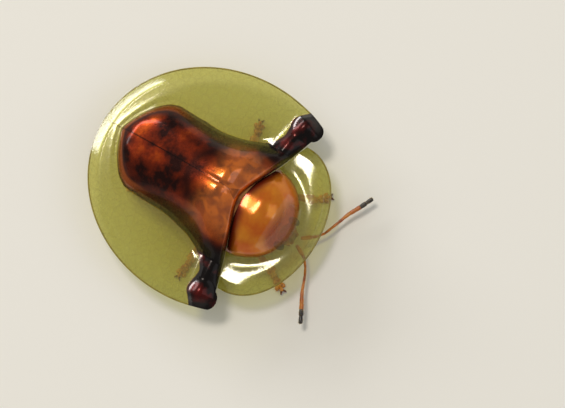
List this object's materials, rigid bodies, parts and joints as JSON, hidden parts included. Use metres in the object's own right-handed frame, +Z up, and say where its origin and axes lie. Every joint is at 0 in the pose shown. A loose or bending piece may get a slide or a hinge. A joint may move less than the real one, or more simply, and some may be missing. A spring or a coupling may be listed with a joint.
{
  "type": "tortoise beetle",
  "caption": "Still, life-size tortoise beetle: a round, flat-rimmed wing-case shield with a humped copper disc and clear margins, over a small body, legs and feelers.",
  "frame": {"origin": "on the ground under the middle of the whole beetle, feelers included", "axes": "+Z up, the head towards -Y, the beetle's left towards +X"},
  "size_m": [0.012, 0.014, 0.0045],
  "materials": {
    "wing_case": "glossy chitin, a metallic copper disc with dark shoulders inside a clear olive-yellow margin",
    "pronotum": "glossy chitin, an amber disc inside a clear olive-yellow margin",
    "body": "satin orange-brown chitin",
    "eye": "glossy black, finely faceted",
    "leg": "glossy amber-orange chitin with pale pads under the feet",
    "feeler": "satin amber-orange chitin",
    "feeler_club": "fine dull down, orange-brown with a black tip"
  },
  "bodies": {
    "root": {"abdomen": "body", "antenna_left_base": "feeler", "antenna_left_club": "feeler_club", "antenna_right_base": "feeler", "antenna_right_club": "feeler_club", "elytron_left": "wing_case", "elytron_right": "wing_case", "eye_left": "eye", "eye_right": "eye", "head": "body", "leg_front_left_femur": "leg", "leg_front_left_tarsus": "leg", "leg_front_left_tibia": "leg", "leg_front_right_femur": "leg", "leg_front_right_tarsus": "leg", "leg_front_right_tibia": "leg", "leg_hind_left_femur": "leg", "leg_hind_left_tarsus": "leg", "leg_hind_left_tibia": "leg", "leg_hind_right_femur": "leg", "leg_hind_right_tarsus": "leg", "leg_hind_right_tibia": "leg", "leg_middle_left_femur": "leg", "leg_middle_left_tarsus": "leg", "leg_middle_left_tibia": "leg", "leg_middle_right_femur": "leg", "leg_middle_right_tarsus": "leg", "leg_middle_right_tibia": "leg", "pronotum": "pronotum", "prothorax": "body", "scutellum": "wing_case", "thorax": "body"}
  },
  "joints": []
}
